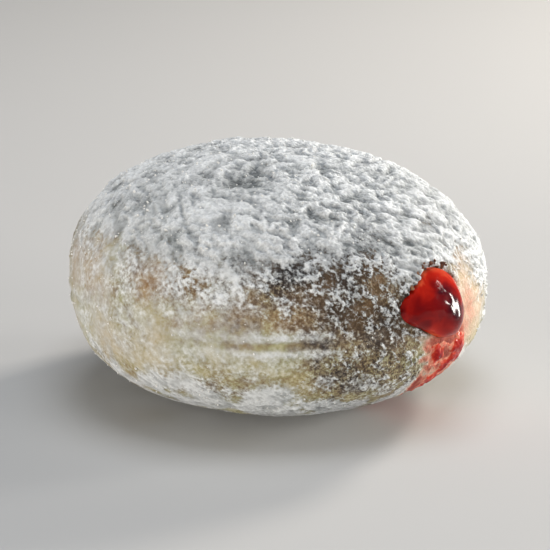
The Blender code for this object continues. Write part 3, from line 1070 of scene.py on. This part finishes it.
def dusted_crust(name, cake_weight):
    """Fried yeast dough under icing sugar: a matte, slightly satiny crust with drier powder on it.

    The crust goes from the pale belt through gold to dark brown, the sugar from thin grey specks to a
    white cake with painted grey shade in its pits, and jelly stains both. The grains are drawn 0.75 mm
    wide, coarser than real icing sugar, so that they show.
    """
    material, shader = new_material(name)
    at = crust_patterns(material)
    crust = bare_crust(material, at)
    cover = sugar_cover(material, at, cake_weight)
    sugar = sugar_colour(material, at, cover)
    links = {0: cover, 6: crust, 7: sugar}
    dusted = add_node(material, "ShaderNodeMix", {"data_type": "RGBA"}, links).outputs[2]
    colour = sanded(material, at, jelly_stained(material, at, dusted))
    link(material, colour, shader.inputs["Base Color"])

    settings = {"From Max": 1.0, "To Min": 0.55, "To Max": 0.95}
    rough = add_node(material, "ShaderNodeMapRange", settings, {"Value": cover}).outputs["Result"]
    link(material, rough, shader.inputs["Roughness"])
    shader.inputs["IOR"].default_value = 1.45
    height = cover
    for pattern, weight in ((at.speck, 2.0), (at.ridge, 0.7)):
        settings = {"operation": "MULTIPLY_ADD", 1: weight}
        height = add_node(material, "ShaderNodeMath", settings, {0: pattern, 2: height}).outputs[0]
    links = {"Height": height, "Strength": at.grit}
    bump = add_node(material, "ShaderNodeBump", {"Distance": 0.20 * MM}, links).outputs["Normal"]
    link(material, bump, shader.inputs["Normal"])
    return material


def speckled(name, size_mm, roughness):
    """A matte material and the noise that its colour is to follow."""
    material, shader = new_material(name)
    shader.inputs["Roughness"].default_value = roughness
    place = add_node(material, "ShaderNodeTexCoord").outputs["Object"]
    settings = {"Scale": per_metre(size_mm), "Detail": 2}
    speck = add_node(material, "ShaderNodeTexNoise", settings, {"Vector": place}).outputs["Fac"]
    return material, shader, speck


def loose_sugar():
    """Loose grains of icing sugar: matte white, and a little greyer here and there."""
    material, shader, speck = speckled("loose_icing_sugar", 1.2, 0.9)
    settings = {"data_type": "RGBA", 6: hex_colour(GRAIN_GREY), 7: hex_colour(GRAIN_WHITE)}
    tone = add_node(material, "ShaderNodeMix", settings, {0: speck}).outputs[2]
    link(material, tone, shader.inputs["Base Color"])
    return material


def torn_crumb():
    """Torn bits of fried crust: matte brown."""
    material, shader, speck = speckled("torn_fried_crumb", 1.5, 0.8)
    tone = add_node(material, "ShaderNodeValToRGB", {}, {"Fac": speck})
    set_ramp(tone, CRUMB_STOPS)
    link(material, tone.outputs[0], shader.inputs["Base Color"])
    return material


def wet_jelly(name, stops, subsurface, swirl_mm):
    """Wet fruit jelly: dark red where it is deep, lighter towards its edges, under a glossy skin. On the
    blob, painted light in the depth mark makes it lighter towards the upper right.

    Light goes a couple of millimetres into it, and red the furthest.
    """
    material, shader = new_material(name)
    place = add_node(material, "ShaderNodeTexCoord").outputs["Object"]
    depth = add_node(material, "ShaderNodeAttribute", {"attribute_name": "depth"}).outputs["Fac"]
    settings = {"Scale": per_metre(swirl_mm), "Detail": 2, "Distortion": 0.5}
    swirl = add_node(material, "ShaderNodeTexNoise", settings, {"Vector": place}).outputs["Fac"]
    settings = {"operation": "MULTIPLY_ADD", 1: 1.0}
    mixed = add_node(material, "ShaderNodeMath", settings, {0: swirl, 2: depth}).outputs[0]
    mixed = add_node(material, "ShaderNodeMath", {"operation": "SUBTRACT", 1: 0.5}, {0: mixed}).outputs[0]
    tone = add_node(material, "ShaderNodeValToRGB", {}, {"Fac": mixed})
    set_ramp(tone, stops)
    link(material, tone.outputs[0], shader.inputs["Base Color"])
    shader.inputs["Roughness"].default_value = 0.12
    shader.inputs["IOR"].default_value = 1.36
    shader.inputs["Specular IOR Level"].default_value = 0.35
    shader.inputs["Subsurface Weight"].default_value = subsurface
    shader.inputs["Subsurface Radius"].default_value = (2.0, 0.35, 0.25)
    shader.inputs["Subsurface Scale"].default_value = 1 * MM
    return material


# ---- Floor, light and camera ----

AIM = Vector((-0.0005, 0, 0.0241))
CAMERA_DISTANCE = 0.5
CAMERA_ELEVATION = math.radians(19)
FRAME_WIDTH = 0.1165
SENSOR = 36
FLOOR_HALF_WIDTH = 2.0
FLOOR_GREY = "#c6c6c5"
SKY_GREY = "#dfe3e8"
SKY_STRENGTH = 0.25

# Each softbox: its place, its width and height, its strength, its colour, and whether wet surfaces
# mirror it.
SOFTBOXES = {
    "overhead_softbox": ((0.04, -0.02, 0.70), (0.4, 0.4), 2.1, "#f2f7ff", False),
    "back_right_softbox": ((0.42, 0.42, 0.36), (0.14, 0.14), 3.2, "#fff5e8", False),
    "low_right_softbox": ((0.62, 0.16, 0.085), (0.08, 0.22), 2.8, "#fffaf2", True),
    "upper_glint_softbox": ((0.61, 0.10, 0.36), (0.03, 0.06), 0.16, "#fffaf2", True),
    "left_fill_softbox": ((-0.50, -0.55, 0.12), (0.4, 0.2), 3.4, "#fff6ea", False),
    "right_fill_softbox": ((0.60, -0.25, 0.20), (0.3, 0.3), 1.1, "#fffaf2", False),
}


def make_floor():
    """A plain pale floor, made as a grid of one face."""
    mesh = bpy.data.meshes.new("floor")
    signs = ((-1, -1), (1, -1), (1, 1), (-1, 1))
    corners = [(x * FLOOR_HALF_WIDTH, y * FLOOR_HALF_WIDTH, 0) for x, y in signs]
    mesh.from_pydata(corners, [], [(0, 1, 2, 3)])
    material, shader = new_material("pale_matte_floor")
    shader.inputs["Base Color"].default_value = hex_colour(FLOOR_GREY)
    shader.inputs["Roughness"].default_value = 0.9
    mesh.materials.append(material)
    floor = bpy.data.objects.new("floor", mesh)
    bpy.context.scene.collection.objects.link(floor)


def softbox(name, place, size, strength, colour, mirrored):
    """A rectangular soft light that faces the doughnut, and shows in wet surfaces if it is mirrored."""
    data = bpy.data.lights.new(name, "AREA")
    data.shape = "RECTANGLE"
    data.size, data.size_y = size
    data.energy = strength
    data.color = hex_colour(colour)[:3]
    lamp = bpy.data.objects.new(name, data)
    lamp.visible_glossy = mirrored
    lamp.location = place
    lamp.rotation_euler = (AIM - Vector(place)).to_track_quat("-Z", "Y").to_euler()
    bpy.context.scene.collection.objects.link(lamp)


def make_lights():
    for name, settings in SOFTBOXES.items():
        softbox(name, *settings)
    world = bpy.data.worlds.new("studio")
    bpy.context.scene.world = world
    world.use_nodes = True
    background = world.node_tree.nodes["Background"]
    background.inputs["Color"].default_value = hex_colour(SKY_GREY)
    background.inputs["Strength"].default_value = SKY_STRENGTH


def make_camera():
    data = bpy.data.cameras.new("camera")
    data.sensor_width = SENSOR
    data.lens = SENSOR * CAMERA_DISTANCE / FRAME_WIDTH
    camera = bpy.data.objects.new("camera", data)
    back = Vector((0, -math.cos(CAMERA_ELEVATION), math.sin(CAMERA_ELEVATION)))
    camera.location = AIM + back * CAMERA_DISTANCE
    camera.rotation_euler = back.to_track_quat("Z", "Y").to_euler()
    bpy.context.scene.collection.objects.link(camera)
    bpy.context.scene.camera = camera
    bpy.context.scene.view_settings.view_transform = "Standard"


def main():
    crust = dusted_crust("fried_yeast_crust", 0.0)
    caked = dusted_crust("caked_icing_sugar", 0.7)
    loose = loose_sugar()
    crumb = torn_crumb()
    fried_crust(crust)
    crown_sugar(caked)
    base_sugar(caked)
    jelly_filling(wet_jelly("wet_red_jelly", JELLY_STOPS, 0.35, 4.5))
    jelly_smear(wet_jelly("smeared_red_jelly", SMEAR_STOPS, 0.2, 1.1))
    sugar_grains(loose)
    crust_crumbs(crumb)
    make_floor()
    make_lights()
    make_camera()


main()
